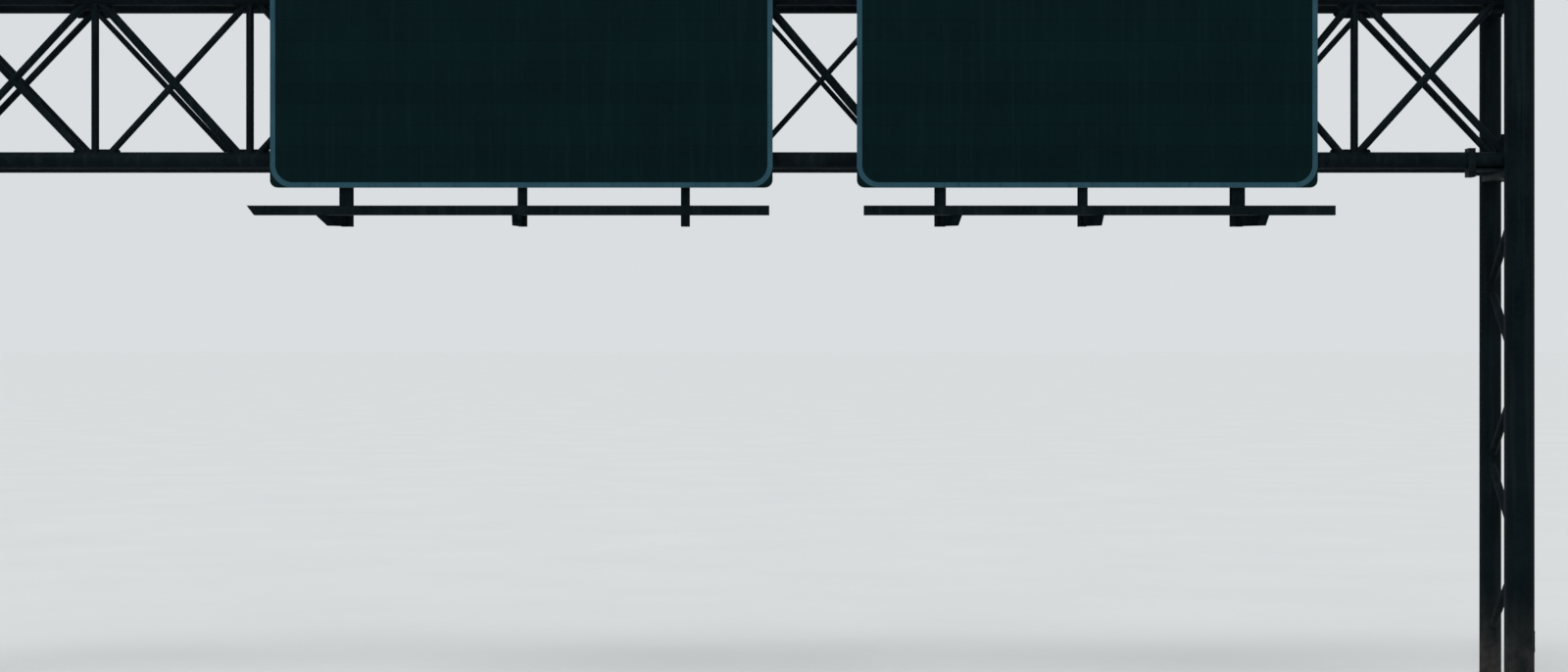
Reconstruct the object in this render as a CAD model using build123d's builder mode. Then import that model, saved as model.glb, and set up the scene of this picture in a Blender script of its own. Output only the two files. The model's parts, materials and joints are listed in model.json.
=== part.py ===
from build123d import *
import os

os.makedirs("parts", exist_ok=True)

# Overhead sign gantry, in millimetres. +X runs across the road and +Z is up. The traffic that reads
# the signs looks along +Y. The origin is on the ground, under the middle of the whole object.

# Truss units along the span, set out by the nodes where bars meet the chords
left_bay = 2274
left_bay_count = 6
right_bay = 2200
right_bay_count = 5
splice_gap = 600
left_end_offset = 205
right_end_offset = 135

# Truss cross-section
truss_height = 2400
truss_depth = 1054.5
bottom_chord_z = 7980
chord_od = 244.5
chord_overhang = 150
splice_flange_od = 380
splice_flange_thickness = 32

# Bars of the truss. The bays are numbered from the left, and the ends of a bar are measured
# along the chords, from the nodes at the start and at the end of its bay.
usual_od = {"main": 114, "counter": 102, "back": 89}
main_od = {2: 127, 6: 127, 9: 108}
counter_od = {6: 83, 9: 114, 10: 114}
back_od = {1: 102, 2: 83, 6: 76, 10: 108}
vertical_od = 114
brace_od = 76
usual_ends = (50, -50)
main_ends = {1: (-11, -66), 2: (16, -85), 6: (75, -89), 9: (272, 30), 10: (72, -32)}
counter_ends = {1: (-100, -78), 2: (129, 44), 6: (-91, -125), 9: (50, -115), 10: (-38, -212)}
back_ends = {1: (-35, 75), 2: (-75, 35), 3: (207, 40), 9: (175, 161), 10: (-103, 40)}
usual_back_ends = (-40, 40)
back_node_shift = {"left": [0, -154, -250, -392, -200, -80, 0], "right": [-5, -143, 0, 280, 240, 37]}
back_counter_bays = [1]

# Gusset plates under the feet of the bars at a node, taller over the seats
gusset_margin = 240
gusset_rise = {"bottom": 42, "top": 72}
gusset_shoulder = 20
gusset_corner = 100
seat_gusset_rise = 265
gusset_thickness = 16
gusset_splice_clearance = 20

# End frames: the front column, on the sign side, is the larger pipe
front_column_od = 432
back_column_od = 324
column_clearance = 10
column_rise = 130
cap_lip = 12
cap_thickness = 14
lacing_od = 120
lacing_top_z = 7460
lacing_step = 1310
lacing_count = 5

# Base plates and their anchor holes
base_margin = 145
base_thickness = 45
anchor_margin = 75
anchor_hole_radius = 19
anchor_count = 8
stiffener_height = 260
stiffener_thickness = 16
stiffener_toe = 30
stiffener_count = 4

# Seats that carry the bottom chords between the columns
saddle_thickness = 40
saddle_width = 220
saddle_reach = {"front": 680, "back": 370}
collar_length = 100
collar_width = 260
collar_rise = 53
seat_beam_width = 300
seat_beam_height = 85

# Sign panels, made of horizontal planks
plank_height = 304.8
plank_count = 11
sign_bottom_z = 7560
sign_corner_radius = 110
panel_skin = 10
panel_depth = 55
plank_rib = 14
border_width = 76
border_corner_radius = 335
border_film = 3
left_sign_x = -5400
left_sign_width = 7315
right_sign_x = 3140
right_sign_width = 6706

# Posts between the front chords and the signs
post_widths = {"left": [180, 126, 126], "right": [160, 130, 195]}
post_depth = 210
post_flange = 12
post_web = 9
post_bottom_z = 7000
post_top_margin = 110
left_post_x = [-4310, -1740, 640]
right_post_x = [4360, 6440, 8700]
bracket_thickness = 15
bracket_width = 330
bracket_height = 190

# Light arms, which slope down towards the traffic and aren't quite square to the signs, and the
# rails that stand on their ends
arm_width = 120
arm_height = 190
arm_flange = 10
arm_web = 8
arm_length = 1940
arm_drop = 70
arm_seat = 100
arm_tapers = {"left": [870, 150, 250], "right": [400, 250, 250]}
arm_shifts = {"left": [-25, 110, 75], "right": [125, 10, 38]}
rail_size = 132
rail_drop = 75
rail_bevel = 100
rail_lap = 12
left_rail_x = -5360
left_rail_length = 7236
right_rail_x = 3186
right_rail_length = 6530

# A welded or bolted joint on a round pipe keeps this clearance
seat_gap = 0.3

# Lengths that follow from the sizes above
truss_length = left_bay * left_bay_count + splice_gap + right_bay * right_bay_count
column_x = (truss_length + left_end_offset + right_end_offset) / 2
left_nodes = [left_end_offset - column_x + left_bay * bay for bay in range(left_bay_count + 1)]
right_nodes = [left_nodes[-1] + splice_gap + right_bay * bay for bay in range(right_bay_count + 1)]
splice_x = left_nodes[-1] + splice_gap / 2

# The first and last nodes stand over the seats
left_nodes[0] = -column_x
right_nodes[-1] = column_x
chord_end_x = column_x + chord_overhang
chord_radius = chord_od / 2
seat_radius = chord_radius + seat_gap
top_chord_z = bottom_chord_z + truss_height
column_top_z = top_chord_z + chord_radius + column_rise

# Distances from the truss's middle plane, to the front and to the back
column_face = truss_depth / 2 + chord_radius + column_clearance
front_column_reach = column_face + front_column_od / 2
back_column_reach = column_face + back_column_od / 2
post_back_reach = truss_depth / 2 + chord_radius + bracket_thickness
post_front_reach = post_back_reach + post_depth
rail_back_reach = post_front_reach + arm_length
rail_front_reach = rail_back_reach + rail_size
arm_reach = arm_length + rail_size - rail_lap
back_base_reach = back_column_reach + back_column_od / 2 + base_margin

# The middle plane stands behind the origin, so that the whole object is centred on it
truss_y = (rail_front_reach - back_base_reach) / 2
front_y = truss_y - truss_depth / 2
back_y = truss_y + truss_depth / 2
front_column_y = truss_y - front_column_reach
back_column_y = truss_y + back_column_reach
post_back_y = truss_y - post_back_reach
panel_back_y = truss_y - post_front_reach
rail_back_y = truss_y - rail_back_reach

unit_nodes = {"left": left_nodes, "right": right_nodes}
unit_ends = {
    "left": (-chord_end_x, splice_x - splice_flange_thickness),
    "right": (splice_x + splice_flange_thickness, chord_end_x),
}
first_bay = {"left": 0, "right": left_bay_count}
face_y = {"front": front_y, "back": back_y}
level_z = {"bottom": bottom_chord_z, "top": top_chord_z}
end_x = {"left": -column_x, "right": column_x}


def save(builder, name):
    builder.part.label = name
    export_step(builder.part, f"parts/{name}.step")


# Bars of one size, each from its first point to its second
def add_bars(runs, bar_od):
    for start, end in runs:
        run = Vector(end) - Vector(start)
        with Locations(Plane(origin=start, z_dir=run)):
            Cylinder(bar_od / 2, run.length, align=(Align.CENTER, Align.CENTER, Align.MIN))


# Where a diagonal of one bay runs, between the chords of a face
def diagonal(bay_start, bay_stop, ends, web_y, falls):
    start_z, stop_z = (top_chord_z, bottom_chord_z) if falls else (bottom_chord_z, top_chord_z)
    return ((bay_start + ends[0], web_y, start_z), (bay_stop + ends[1], web_y, stop_z))


# Takes the room of the chords out of what is welded to them
def cut_chords(places):
    planes = [Plane(origin=(-chord_end_x, y, z), z_dir=(1, 0, 0)) for y, z in places]
    with Locations(*planes):
        Cylinder(
            seat_radius,
            2 * chord_end_x,
            align=(Align.CENTER, Align.CENTER, Align.MIN),
            mode=Mode.SUBTRACT,
        )


# Takes the room of both columns of one end frame out of what is welded between them
def cut_columns(frame_x):
    for column_y, column_od in ((front_column_y, front_column_od), (back_column_y, back_column_od)):
        with Locations((frame_x, column_y)):
            Cylinder(
                column_od / 2 + seat_gap,
                column_top_z,
                align=(Align.CENTER, Align.CENTER, Align.MIN),
                mode=Mode.SUBTRACT,
            )


# Chords, one unit long, and the flanges that bolt the chords of the two units together
for unit, (start_x, stop_x) in unit_ends.items():
    for face, chord_y in face_y.items():
        for level, chord_z in level_z.items():
            with BuildPart() as chord:
                with BuildSketch(Plane.YZ.offset(start_x)):
                    with Locations((chord_y, chord_z)):
                        Circle(chord_radius)
                extrude(amount=stop_x - start_x)
            save(chord, f"{unit}_{face}_{level}_chord")

    flange_x = stop_x if unit == "left" else start_x - splice_flange_thickness
    with BuildPart() as flanges:
        with BuildSketch(Plane.YZ.offset(flange_x)):
            with Locations(*[(y, z) for y in face_y.values() for z in level_z.values()]):
                Circle(splice_flange_od / 2)
        extrude(amount=splice_flange_thickness)
    save(flanges, f"{unit}_splice_flanges")

# Webs: each face of a unit, with its gusset plates, diagonals and, in front, verticals
for unit, nodes in unit_nodes.items():
    start_x, stop_x = unit_ends[unit]
    if unit == "left":
        stop_x -= gusset_splice_clearance
    else:
        start_x += gusset_splice_clearance
    for face, web_y in face_y.items():
        front = face == "front"
        shifts = [0] * len(nodes) if front else back_node_shift[unit]
        face_nodes = [x + shift for x, shift in zip(nodes, shifts)]
        bars = []
        feet = {(node, level): [] for node in range(len(nodes)) for level in level_z}
        if front:
            for node, level in feet:
                feet[node, level].append(nodes[node])
        for end_node, node_x in enumerate(nodes):
            if abs(node_x) == column_x:
                feet[end_node, "bottom"].append(face_nodes[end_node])
        for step, (bay_start, bay_stop) in enumerate(zip(face_nodes, face_nodes[1:])):
            bay = first_bay[unit] + step
            main_falls = bay % 2 == 0
            if front:
                main = (main_ends.get(bay, usual_ends), main_od.get(bay, usual_od["main"]))
                counter = (counter_ends.get(bay, usual_ends), counter_od.get(bay, usual_od["counter"]))
            else:
                main = (back_ends.get(bay, usual_back_ends), back_od.get(bay, usual_od["back"]))
                counter = main
            bay_bars = [(main, main_falls)]
            if front or bay in back_counter_bays:
                bay_bars.append((counter, not main_falls))
            for (ends, bar_od), falls in bay_bars:
                bars.append((diagonal(bay_start, bay_stop, ends, web_y, falls), bar_od))
                feet[step, "top" if falls else "bottom"].append(bay_start + ends[0])
                feet[step + 1, "bottom" if falls else "top"].append(bay_stop + ends[1])
        with BuildPart() as web:
            with BuildSketch(Plane.XZ.offset(-web_y)):
                for (node, level), foot_x in feet.items():
                    if not foot_x:
                        continue
                    plate_start = max(min(foot_x) - gusset_margin, start_x)
                    plate_stop = min(max(foot_x) + gusset_margin, stop_x)
                    over_seat = abs(nodes[node]) == column_x and level == "bottom"
                    rise = seat_gusset_rise if over_seat else gusset_rise[level]
                    inward = 1 if level == "bottom" else -1
                    shoulder_z = level_z[level] + inward * (chord_radius + gusset_shoulder)
                    crest_z = level_z[level] + inward * (chord_radius + rise)
                    corner = min(rise - gusset_shoulder, gusset_corner)
                    Polygon(
                        (plate_start, level_z[level]),
                        (plate_stop, level_z[level]),
                        (plate_stop, shoulder_z),
                        (plate_stop - corner, crest_z),
                        (plate_start + corner, crest_z),
                        (plate_start, shoulder_z),
                        align=None,
                    )
            extrude(amount=gusset_thickness / 2, both=True)
            for run, bar_od in bars:
                add_bars([run], bar_od)
            if front:
                verticals = [((x, web_y, bottom_chord_z), (x, web_y, top_chord_z)) for x in nodes]
                add_bars(verticals, vertical_od)
            cut_chords([(web_y, bottom_chord_z), (web_y, top_chord_z)])
        save(web, f"{unit}_{face}_web")

# Braces between the front and back chords, in the plane of each pair
for unit, nodes in unit_nodes.items():
    for level, brace_z in level_z.items():
        diagonals = []
        for bay, (near_x, far_x) in enumerate(zip(nodes, nodes[1:])):
            start_y, stop_y = (front_y, back_y) if bay % 2 == 0 else (back_y, front_y)
            diagonals.append(((near_x, start_y, brace_z), (far_x, stop_y, brace_z)))
        with BuildPart() as bracing:
            add_bars([((x, front_y, brace_z), (x, back_y, brace_z)) for x in nodes], brace_od)
            add_bars(diagonals, brace_od)
            cut_chords([(front_y, brace_z), (back_y, brace_z)])
        save(bracing, f"{unit}_{level}_bracing")

# Columns and their base plates
column_sizes = {"front": (front_column_y, front_column_od), "back": (back_column_y, back_column_od)}
for end, frame_x in end_x.items():
    for face, (column_y, column_od) in column_sizes.items():
        with BuildPart() as column:
            with BuildSketch(Plane.XY.offset(base_thickness)):
                with Locations((frame_x, column_y)):
                    Circle(column_od / 2)
            extrude(amount=column_top_z - base_thickness)
        save(column, f"{end}_{face}_column")

        base_size = column_od + 2 * base_margin
        with BuildPart() as base:
            with BuildSketch():
                with Locations((frame_x, column_y)):
                    Rectangle(base_size, base_size)
                    with PolarLocations(column_od / 2 + anchor_margin, anchor_count, 180 / anchor_count):
                        Circle(anchor_hole_radius, mode=Mode.SUBTRACT)
            extrude(amount=base_thickness)
            fin_reach = base_size / 2 - stiffener_toe
            with Locations((frame_x, column_y, base_thickness)):
                with PolarLocations(0, stiffener_count):
                    with BuildSketch(mode=Mode.PRIVATE) as fin:
                        Polygon(
                            (0, 0),
                            (fin_reach, 0),
                            (fin_reach, stiffener_toe),
                            (column_od / 2, stiffener_height),
                            (0, stiffener_height),
                            align=None,
                        )
                    half_fin = stiffener_thickness / 2
                    add(Rot(90, 0, 0) * extrude(fin.sketch, half_fin, both=True, mode=Mode.PRIVATE))
            with Locations((frame_x, column_y, base_thickness)):
                Cylinder(
                    column_od / 2 + seat_gap,
                    column_top_z,
                    align=(Align.CENTER, Align.CENTER, Align.MIN),
                    mode=Mode.SUBTRACT,
                )
        save(base, f"{end}_{face}_base_plate")

# Caps that close the columns
with BuildPart() as caps:
    for frame_x in end_x.values():
        for column_y, column_od in column_sizes.values():
            with BuildSketch(Plane.XY.offset(column_top_z)):
                with Locations((frame_x, column_y)):
                    Circle(column_od / 2 + cap_lip)
    extrude(amount=cap_thickness)
save(caps, "column_caps")

# Lacing bars, zigzag between the two columns of each end frame
for end, frame_x in end_x.items():
    zigzag = []
    for step in range(lacing_count):
        start_y, stop_y = (front_column_y, back_column_y)
        if step % 2 == 1:
            start_y, stop_y = (back_column_y, front_column_y)
        start_z = lacing_top_z - lacing_step * step
        zigzag.append(((frame_x, start_y, start_z), (frame_x, stop_y, start_z - lacing_step)))
    with BuildPart() as lacing:
        add_bars(zigzag, lacing_od)
        cut_columns(frame_x)
    save(lacing, f"{end}_lacing")

# Seat beams across the columns, and a saddle for each bottom chord, with a collar on the front one
saddle_top_z = bottom_chord_z - chord_radius
saddle_bottom_z = saddle_top_z - saddle_thickness
for end, frame_x in end_x.items():
    outward = 1 if end == "right" else -1
    with BuildPart() as seat_beam:
        with BuildSketch(Plane.XY.offset(saddle_bottom_z)):
            with Locations((frame_x, (front_column_y + back_column_y) / 2)):
                Rectangle(seat_beam_width, back_column_y - front_column_y)
        extrude(amount=-seat_beam_height)
        cut_columns(frame_x)
    save(seat_beam, f"{end}_seat_beam")

    outer_x = frame_x + outward * chord_overhang
    with BuildPart() as saddles:
        for face, saddle_y in face_y.items():
            inner_x = frame_x - outward * saddle_reach[face]
            with BuildSketch(Plane.XY.offset(saddle_bottom_z)):
                with Locations(((inner_x + outer_x) / 2, saddle_y)):
                    Rectangle(saddle_reach[face] + chord_overhang, saddle_width)
            extrude(amount=saddle_thickness)
        collar_x = frame_x - outward * (saddle_reach["front"] - collar_length / 2)
        with BuildSketch(Plane.XY.offset(saddle_bottom_z - seat_beam_height)):
            with Locations((collar_x, front_y)):
                Rectangle(collar_length, collar_width)
        extrude(amount=seat_beam_height + saddle_thickness + chord_od + collar_rise)
        cut_chords([(front_y, bottom_chord_z), (back_y, bottom_chord_z)])
    save(saddles, f"{end}_saddles")

# Signs, with the posts, brackets, light arms and light rail of each
signs = {
    "left": (left_sign_x, left_sign_width, left_post_x, left_rail_x, left_rail_length, rail_bevel),
    "right": (right_sign_x, right_sign_width, right_post_x, right_rail_x, right_rail_length, 0),
}
sign_height = plank_height * plank_count
sign_top_z = sign_bottom_z + sign_height
rail_bottom_z = post_bottom_z + rail_drop
for side, (sign_x, sign_width, post_x, rail_x, rail_length, bevel) in signs.items():
    sign_middle = (sign_x + sign_width / 2, sign_bottom_z + sign_height / 2)
    # The border lies flush in the front of the panel
    with BuildPart() as border:
        with BuildSketch(Plane.XZ.offset(-panel_back_y + panel_depth - border_film)):
            with Locations(sign_middle):
                RectangleRounded(sign_width, sign_height, border_corner_radius)
                RectangleRounded(
                    sign_width - 2 * border_width,
                    sign_height - 2 * border_width,
                    border_corner_radius - border_width,
                    mode=Mode.SUBTRACT,
                )
        extrude(amount=border_film)
    save(border, f"{side}_sign_border")

    with BuildPart() as panel:
        with BuildSketch(Plane.XZ.offset(-panel_back_y + panel_depth - panel_skin)):
            with Locations(sign_middle):
                RectangleRounded(sign_width, sign_height, sign_corner_radius)
        extrude(amount=panel_skin)
        add(border.part, mode=Mode.SUBTRACT)
        with BuildSketch(Plane.XZ.offset(-panel_back_y)):
            for joint in range(plank_count + 1):
                rib_margin = sign_corner_radius if joint in (0, plank_count) else 0
                rib_z = sign_bottom_z + plank_height * joint
                rib_z = min(max(rib_z, sign_bottom_z + plank_rib / 2), sign_top_z - plank_rib / 2)
                with Locations((sign_middle[0], rib_z)):
                    Rectangle(sign_width - 2 * rib_margin, plank_rib)
        extrude(amount=panel_depth - panel_skin)
    save(panel, f"{side}_sign_panel")

    with BuildPart() as posts:
        with BuildSketch(Plane.XY.offset(post_bottom_z)):
            for x, post_width in zip(post_x, post_widths[side]):
                with Locations((x, post_back_y - post_depth / 2)):
                    Rectangle(post_web, post_depth)
                with Locations(
                    (x, post_back_y - post_flange / 2),
                    (x, post_back_y - post_depth + post_flange / 2),
                ):
                    Rectangle(post_width, post_flange)
        extrude(amount=sign_top_z - post_top_margin - post_bottom_z)
    save(posts, f"{side}_sign_posts")

    with BuildPart() as brackets:
        with BuildSketch(Plane.XZ.offset(-post_back_y - bracket_thickness)):
            with Locations(*[(x, chord_z) for x in post_x for chord_z in level_z.values()]):
                Rectangle(bracket_width, bracket_height)
        extrude(amount=bracket_thickness)
    save(brackets, f"{side}_post_brackets")

    with BuildPart() as arms:
        for x, taper, shift in zip(post_x, arm_tapers[side], arm_shifts[side]):
            run = Vector(shift, -arm_reach, 0).normalized()
            arm_plane = Plane(origin=(x, panel_back_y, 0), x_dir=run, z_dir=run.cross(Vector(0, 0, 1)))
            corner = arm_reach - taper
            # The arm from its side: how far along it, and how high
            outline = [
                (-arm_flange, post_bottom_z),
                (corner, post_bottom_z - arm_drop * corner / arm_reach),
                (arm_reach, rail_bottom_z - arm_flange),
                (arm_reach, rail_bottom_z),
                (arm_length - arm_seat, rail_bottom_z),
                (-arm_flange, post_bottom_z + arm_height),
            ]
            with BuildSketch(arm_plane):
                Polygon(*outline, align=None)
            extrude(amount=arm_web / 2, both=True)
            with BuildSketch(arm_plane):
                Polygon(*outline, align=None)
                offset(amount=-arm_flange, kind=Kind.INTERSECTION, mode=Mode.SUBTRACT)
            extrude(amount=arm_width / 2, both=True)
        with Locations((sign_middle[0], panel_back_y, post_bottom_z - arm_drop)):
            Box(
                sign_width,
                post_depth,
                arm_height + 2 * arm_drop,
                align=(Align.CENTER, Align.MIN, Align.MIN),
                mode=Mode.SUBTRACT,
            )
    save(arms, f"{side}_light_arms")

    with BuildPart() as rail:
        with BuildSketch(Plane.XZ.offset(-rail_back_y)):
            Polygon(
                (rail_x + bevel, rail_bottom_z),
                (rail_x + rail_length, rail_bottom_z),
                (rail_x + rail_length, rail_bottom_z + rail_size),
                (rail_x, rail_bottom_z + rail_size),
                align=None,
            )
        extrude(amount=rail_size)
    save(rail, f"{side}_light_rail")
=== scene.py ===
import json
import math

import bmesh
import bpy
from mathutils import Matrix, Vector


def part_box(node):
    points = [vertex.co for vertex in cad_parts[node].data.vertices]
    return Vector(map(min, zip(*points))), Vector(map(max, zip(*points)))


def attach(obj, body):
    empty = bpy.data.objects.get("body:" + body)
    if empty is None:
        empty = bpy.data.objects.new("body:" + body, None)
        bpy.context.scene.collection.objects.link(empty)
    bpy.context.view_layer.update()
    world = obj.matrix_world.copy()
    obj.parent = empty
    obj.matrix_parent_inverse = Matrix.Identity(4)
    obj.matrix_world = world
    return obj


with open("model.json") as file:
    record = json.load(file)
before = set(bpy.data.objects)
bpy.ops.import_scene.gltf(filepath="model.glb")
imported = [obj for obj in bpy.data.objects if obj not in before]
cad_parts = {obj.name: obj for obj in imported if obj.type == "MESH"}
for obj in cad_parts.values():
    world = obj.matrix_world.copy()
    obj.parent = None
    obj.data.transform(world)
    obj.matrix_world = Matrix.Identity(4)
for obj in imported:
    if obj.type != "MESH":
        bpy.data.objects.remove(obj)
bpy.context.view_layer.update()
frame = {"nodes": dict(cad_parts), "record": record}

print("frame in:", len(frame["nodes"]), "nodes")

ends = {"left": -1, "right": 1}
faces = ("front", "back")
levels = ("bottom", "top")

trussLayout = {"leftBay": 2.274, "leftBays": 6, "rightBay": 2.2, "rightBays": 5, "spliceGap": 0.6,
               "leftStart": -12.587, "verticalRadius": 0.057, "braceRadius": 0.038,
               "gussetMargin": 0.24, "gussetHalfThick": 0.008, "nodeReach": 0.6}
# Diagonals by the number of their bay: widths, and how far the ends lie from the bay's nodes
barWidths = {"main": {2: 0.127, 6: 0.127, 9: 0.108},
             "counter": {6: 0.083, 9: 0.114, 10: 0.114},
             "back": {1: 0.102, 2: 0.083, 6: 0.076, 10: 0.108},
             "usual": {"main": 0.114, "counter": 0.102, "back": 0.089}}
barEnds = {"main": {1: (-0.011, -0.066), 2: (0.016, -0.085), 6: (0.075, -0.089), 9: (0.272, 0.030),
                    10: (0.072, -0.032)},
           "counter": {1: (-0.100, -0.078), 2: (0.129, 0.044), 6: (-0.091, -0.125), 9: (0.050, -0.115),
                       10: (-0.038, -0.212)},
           "back": {1: (-0.035, 0.075), 2: (-0.075, 0.035), 3: (0.207, 0.040), 9: (0.175, 0.161),
                    10: (-0.103, 0.040)},
           "usual": {"main": (0.050, -0.050), "counter": (0.050, -0.050), "back": (-0.040, 0.040)}}
# How far each node of the back face lies to the side of the front's
backShifts = {"left": (0, -0.154, -0.250, -0.392, -0.200, -0.080, 0),
              "right": (-0.005, -0.143, 0, 0.280, 0.240, 0.037)}
backCounterBays = (1,)  # bays with a second diagonal in the back face
signPosts = {"left": (-4.31, -1.74, 0.64), "right": (4.36, 6.44, 8.70)}
postWidths = {"left": (0.180, 0.126, 0.126), "right": (0.160, 0.130, 0.195)}
armShifts = {"left": (-0.025, 0.110, 0.075), "right": (0.125, 0.010, 0.038)}


# Centre of a node's box
def middle(node):
    low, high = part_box(node)
    return (low + high) / 2


columnX = middle("right_front_column").x
leftNodes = [trussLayout["leftStart"] + trussLayout["leftBay"] * bay
             for bay in range(trussLayout["leftBays"] + 1)]
rightNodes = [leftNodes[-1] + trussLayout["spliceGap"] + trussLayout["rightBay"] * bay
              for bay in range(trussLayout["rightBays"] + 1)]
leftNodes[0] = -columnX
rightNodes[-1] = columnX
trussNodes = {"left": leftNodes, "right": rightNodes}
faceNodes = {}
for unit in ends:
    faceNodes[unit, "front"] = trussNodes[unit]
    faceNodes[unit, "back"] = [x + shift for x, shift in zip(trussNodes[unit], backShifts[unit])]
chordY = {face: middle(f"left_{face}_bottom_chord").y for face in faces}
chordZ = {level: middle(f"left_front_{level}_chord").z for level in levels}
chordLow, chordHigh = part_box("left_front_bottom_chord")
chordRadius = (chordHigh.z - chordLow.z) / 2
chordEnd = -chordLow.x
columnY = {face: middle(f"right_{face}_column").y for face in faces}
columnRadius = {}
for face in faces:
    low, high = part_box(f"right_{face}_column")
    columnRadius[face] = (high.x - low.x) / 2
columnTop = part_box("right_front_column")[1].z


# Node groups: each effect once, with its own inputs

def startGroup(name, inputs, outputs):
    group = bpy.data.node_groups.new(name, "ShaderNodeTree")
    for label, kind, value in inputs:
        group.interface.new_socket(label, in_out="INPUT", socket_type=kind).default_value = value
    for label, kind in outputs:
        group.interface.new_socket(label, in_out="OUTPUT", socket_type=kind)
    return group, group.nodes.new("NodeGroupInput"), group.nodes.new("NodeGroupOutput")


# A node with its plain values set by the names of its sockets
def addNode(tree, kind, values=None, **settings):
    node = tree.nodes.new(kind)
    for key, value in settings.items():
        setattr(node, key, value)
    for key, value in (values or {}).items():
        node.inputs[key].default_value = value
    return node


def addMath(tree, operation, first, second, clamp=False):
    node = addNode(tree, "ShaderNodeMath", operation=operation, use_clamp=clamp)
    for socket, source in zip(node.inputs, (first, second)):
        if isinstance(source, (int, float)):
            socket.default_value = source
        else:
            tree.links.new(source, socket)
    return node.outputs[0]


def addRange(tree, source, fromLow, fromHigh, toLow, toHigh):
    node = addNode(tree, "ShaderNodeMapRange", {"From Min": fromLow, "From Max": fromHigh,
                                                "To Min": toLow, "To Max": toHigh})
    tree.links.new(source, node.inputs["Value"])
    return node.outputs["Result"]


def mixColours(tree, factor, first, second):
    node = addNode(tree, "ShaderNodeMix", data_type="RGBA")
    for socket, source in ((node.inputs[0], factor), (node.inputs[6], first), (node.inputs[7], second)):
        if isinstance(source, (int, float)):
            socket.default_value = source
        elif isinstance(source, tuple):
            socket.default_value = (*source, 1)
        else:
            tree.links.new(source, socket)
    return node.outputs[2]


def addNoise(tree, vector, scale, detail=4.0, roughness=0.55, distortion=0.0):
    node = addNode(tree, "ShaderNodeTexNoise",
                   {"Detail": detail, "Roughness": roughness, "Distortion": distortion})
    tree.links.new(vector, node.inputs["Vector"])
    if isinstance(scale, (int, float)):
        node.inputs["Scale"].default_value = scale
    else:
        tree.links.new(scale, node.inputs["Scale"])
    return node.outputs["Fac"]


# Runs of rain down a surface: noise drawn out along Z
def makeRainStreaks():
    group, entry, leave = startGroup("rainStreaks", [("Across", "NodeSocketFloat", 9.0),
                                                     ("Down", "NodeSocketFloat", 0.6),
                                                     ("Start", "NodeSocketFloat", 0.5)],
                                     [("Mask", "NodeSocketFloat")])
    spot = group.nodes.new("ShaderNodeTexCoord").outputs["Object"]
    stretch = group.nodes.new("ShaderNodeCombineXYZ")
    for axis in ("X", "Y"):
        group.links.new(entry.outputs["Across"], stretch.inputs[axis])
    group.links.new(entry.outputs["Down"], stretch.inputs["Z"])
    scaled = addNode(group, "ShaderNodeVectorMath", operation="MULTIPLY")
    group.links.new(spot, scaled.inputs[0])
    group.links.new(stretch.outputs[0], scaled.inputs[1])
    runs = addNoise(group, scaled.outputs[0], 1.0, 5.0, 0.62)
    above = addMath(group, "SUBTRACT", runs, entry.outputs["Start"])
    group.links.new(addMath(group, "MULTIPLY", above, 5.5, clamp=True), leave.inputs["Mask"])
    return group


# Cloudy change of shade in old paint
def makePaintMottle():
    group, entry, leave = startGroup("paintMottle", [("Scale", "NodeSocketFloat", 1.6)],
                                     [("Shade", "NodeSocketFloat")])
    spot = group.nodes.new("ShaderNodeTexCoord").outputs["Object"]
    broad = addNoise(group, spot, entry.outputs["Scale"], 3.0, 0.5)
    fine = addNoise(group, spot, addMath(group, "MULTIPLY", entry.outputs["Scale"], 13.0), 6.0, 0.65)
    both = addMath(group, "ADD", addMath(group, "MULTIPLY", broad, 0.62),
                   addMath(group, "MULTIPLY", fine, 0.38))
    group.links.new(addRange(group, both, 0.36, 0.64, 0.0, 1.0), leave.inputs["Shade"])
    return group


rustBrowns = {"dark": (0.026, 0.011, 0.006), "light": (0.085, 0.034, 0.013)}


# Rust that breaks through the paint, with its own change of brown
def makeRustBloom():
    group, entry, leave = startGroup("rustBloom", [("Scale", "NodeSocketFloat", 5.0),
                                                   ("Cover", "NodeSocketFloat", 0.1)],
                                     [("Mask", "NodeSocketFloat"), ("Colour", "NodeSocketColor")])
    spot = group.nodes.new("ShaderNodeTexCoord").outputs["Object"]
    cloud = addNoise(group, spot, entry.outputs["Scale"], 9.0, 0.72, 0.3)
    limit = addMath(group, "SUBTRACT", 0.72, addMath(group, "MULTIPLY", entry.outputs["Cover"], 0.6))
    above = addMath(group, "SUBTRACT", cloud, limit)
    group.links.new(addMath(group, "MULTIPLY", above, 9.0, clamp=True), leave.inputs["Mask"])
    tint = addNoise(group, spot, addMath(group, "MULTIPLY", entry.outputs["Scale"], 6.0), 5.0, 0.6)
    brown = mixColours(group, addRange(group, tint, 0.38, 0.62, 0.0, 1.0),
                       rustBrowns["dark"], rustBrowns["light"])
    group.links.new(brown, leave.inputs["Colour"])
    return group


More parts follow.
